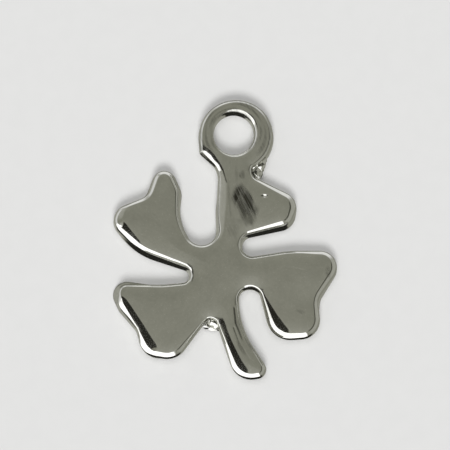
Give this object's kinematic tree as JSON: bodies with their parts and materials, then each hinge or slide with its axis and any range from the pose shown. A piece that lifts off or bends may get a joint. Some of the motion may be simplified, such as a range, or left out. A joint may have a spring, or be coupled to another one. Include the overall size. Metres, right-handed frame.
{
  "type": "four leaf clover pendant",
  "caption": "Flat polished steel clover charm with heart-shaped leaves, a curved stem and a round hanging loop on a short neck.",
  "frame": {"origin": "the clover's hub, where the leaves meet, on the flat back", "axes": "+Y from the hub up towards the hanging loop, +Z out of the front, +X to the right seen from the front"},
  "size_m": [0.0112, 0.0143, 0.001],
  "materials": {
    "polished_steel": "tumble-polished cast stainless steel"
  },
  "bodies": {
    "root": {"clover_pendant": "polished_steel"}
  },
  "joints": []
}
